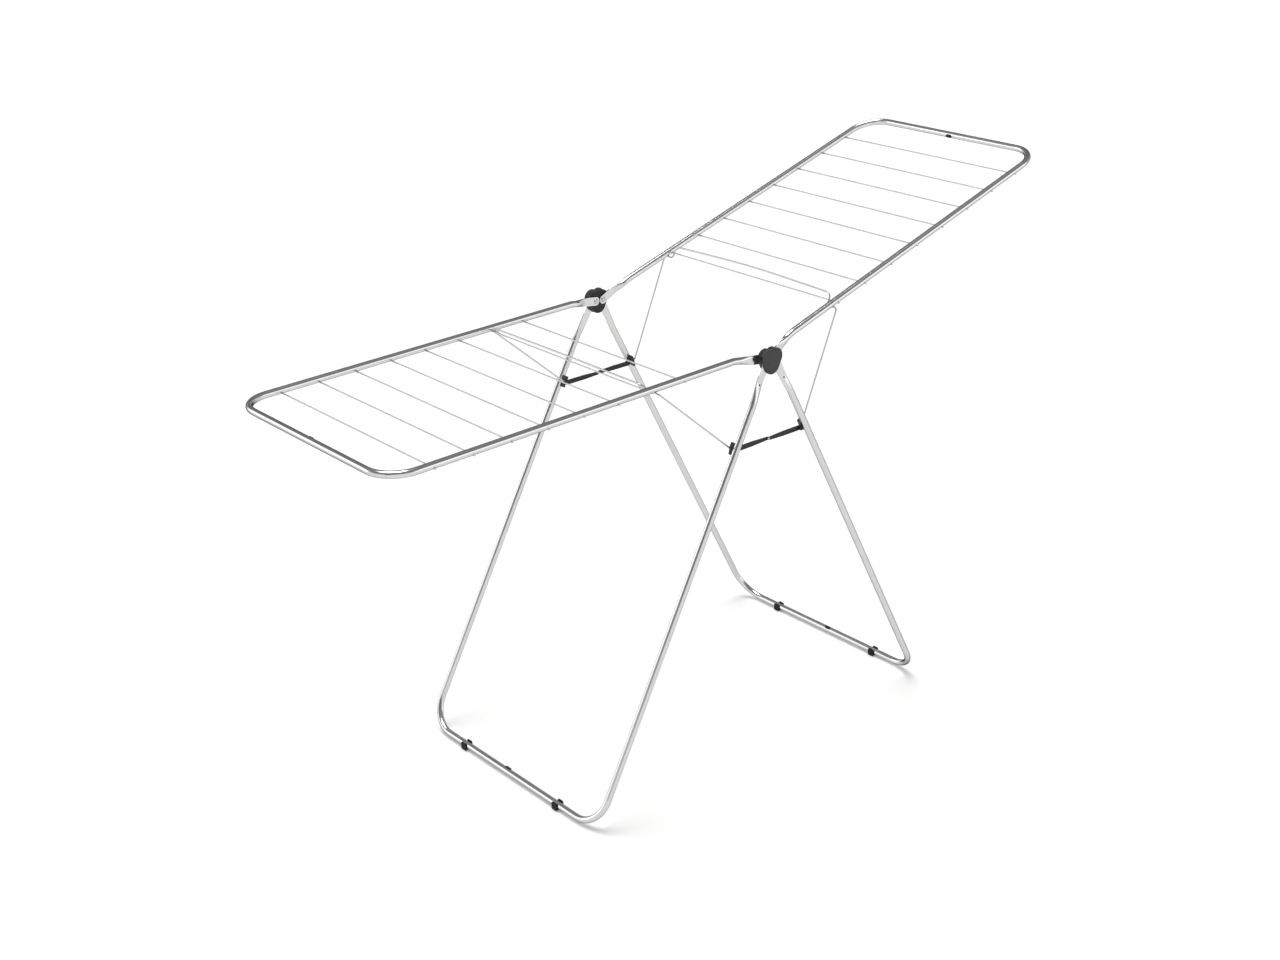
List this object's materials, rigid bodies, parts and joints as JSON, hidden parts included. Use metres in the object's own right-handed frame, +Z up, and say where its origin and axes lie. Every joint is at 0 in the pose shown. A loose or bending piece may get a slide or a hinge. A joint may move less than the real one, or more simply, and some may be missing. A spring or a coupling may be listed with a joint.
{
  "type": "clothes drying rack",
  "caption": "Folding winged clothes airer of bent steel tube: two drying wings of wires on hinge knuckles, wire stays and A-frame legs with folding straps",
  "frame": {"origin": "on the floor under the middle of the open rack's bounding box", "axes": "+X towards the raised wing, +Y towards the far side, +Z up"},
  "size_m": [1.8702, 0.6138, 1.2421],
  "materials": {
    "tube_steel": "satin drawn stainless tube",
    "wire_steel": "bright drawn wire",
    "rivet_steel": "plain rivet",
    "knuckle_plastic": "fine grained charcoal moulding",
    "black_plastic": "plain black moulding",
    "foot_rubber": "matt rubber"
  },
  "bodies": {
    "hinge": {"hinge_body_near": "knuckle_plastic", "hinge_body_far": "knuckle_plastic", "hinge_cap_near": "knuckle_plastic", "hinge_cap_far": "knuckle_plastic", "hinge_rivet_left_near": "rivet_steel", "hinge_rivet_left_far": "rivet_steel", "hinge_rivet_right_near": "rivet_steel", "hinge_rivet_right_far": "rivet_steel"},
    "left_wing": {"left_wing_frame": "tube_steel", "left_wing_wire_1": "wire_steel", "left_wing_wire_2": "wire_steel", "left_wing_wire_3": "wire_steel", "left_wing_wire_4": "wire_steel", "left_wing_wire_5": "wire_steel", "left_wing_wire_6": "wire_steel", "left_wing_wire_7": "wire_steel", "left_wing_wire_8": "wire_steel", "left_wing_bumper": "foot_rubber"},
    "left_leg": {"left_leg_frame": "tube_steel", "left_leg_foot_near": "foot_rubber", "left_leg_foot_far": "foot_rubber", "left_leg_bumper": "foot_rubber", "leg_clip_left_near": "black_plastic", "leg_clip_left_far": "black_plastic"},
    "left_stay": {"left_stay": "wire_steel"},
    "left_strap_near": {"strap_link_left_near": "black_plastic"},
    "left_strap_far": {"strap_link_left_far": "black_plastic"},
    "right_wing": {"right_wing_frame": "tube_steel", "right_wing_wire_1": "wire_steel", "right_wing_wire_2": "wire_steel", "right_wing_wire_3": "wire_steel", "right_wing_wire_4": "wire_steel", "right_wing_wire_5": "wire_steel", "right_wing_wire_6": "wire_steel", "right_wing_wire_7": "wire_steel", "right_wing_wire_8": "wire_steel", "right_wing_bumper": "foot_rubber"},
    "right_leg": {"right_leg_frame": "tube_steel", "right_leg_foot_near": "foot_rubber", "right_leg_foot_far": "foot_rubber", "right_leg_bumper": "foot_rubber", "leg_clip_right_near": "black_plastic", "leg_clip_right_far": "black_plastic"},
    "right_stay": {"right_stay": "wire_steel"},
    "right_strap_near": {"strap_link_right_near": "black_plastic"},
    "right_strap_far": {"strap_link_right_far": "black_plastic"}
  },
  "joints": [
    {"name": "left_wing_fold", "type": "hinge", "parent": "hinge", "child": "left_wing", "pos_m": [0.01202, 0, 0.94463], "axis": [0, -1, 0], "range_deg": [0, 83.9]},
    {"name": "right_wing_fold", "type": "hinge", "parent": "hinge", "child": "right_wing", "pos_m": [0.03382, 0, 0.94463], "axis": [0, 1, 0], "range_deg": [0, 102.2]},
    {"name": "left_leg_fold", "type": "hinge", "parent": "hinge", "child": "left_leg", "pos_m": [0.01202, 0, 0.94463], "axis": [0, -1, 0], "range_deg": [0, 26.26]},
    {"name": "right_leg_fold", "type": "hinge", "parent": "hinge", "child": "right_leg", "pos_m": [0.03382, 0, 0.94463], "axis": [0, 1, 0], "range_deg": [0, 26.26]},
    {"name": "left_stay_swing", "type": "hinge", "parent": "left_wing", "child": "left_stay", "pos_m": [-0.28488, 0, 0.94183], "axis": [0, -1, 0], "range_deg": [-138.29, 0]},
    {"name": "right_stay_swing", "type": "hinge", "parent": "right_wing", "child": "right_stay", "pos_m": [0.23205, 0, 1.00902], "axis": [0, 1, 0], "range_deg": [-129.94, 0]},
    {"name": "left_strap_near_fold", "type": "hinge", "parent": "left_leg", "child": "left_strap_near", "pos_m": [-0.07304, 0, 0.76442], "axis": [0, -1, 0], "range_deg": [-111.86, 0]},
    {"name": "left_strap_far_fold", "type": "hinge", "parent": "left_leg", "child": "left_strap_far", "pos_m": [-0.07304, 0, 0.76442], "axis": [0, -1, 0], "range_deg": [-111.86, 0]},
    {"name": "right_strap_near_fold", "type": "hinge", "parent": "right_leg", "child": "right_strap_near", "pos_m": [0.11888, 0, 0.76442], "axis": [0, 1, 0], "range_deg": [-111.86, 0]},
    {"name": "right_strap_far_fold", "type": "hinge", "parent": "right_leg", "child": "right_strap_far", "pos_m": [0.11888, 0, 0.76442], "axis": [0, 1, 0], "range_deg": [-111.86, 0]}
  ],
  "couplings": [
    {"joint": "right_leg_fold", "follows": "left_leg_fold", "ratio": 1},
    {"joint": "left_stay_swing", "follows": "left_wing_fold", "ratio": -1.6477},
    {"joint": "right_stay_swing", "follows": "right_wing_fold", "ratio": -1.2709},
    {"joint": "left_strap_near_fold", "follows": "left_leg_fold", "ratio": -4.2577},
    {"joint": "left_strap_far_fold", "follows": "left_leg_fold", "ratio": -4.2577},
    {"joint": "right_strap_near_fold", "follows": "left_leg_fold", "ratio": -4.2577},
    {"joint": "right_strap_far_fold", "follows": "left_leg_fold", "ratio": -4.2577}
  ]
}
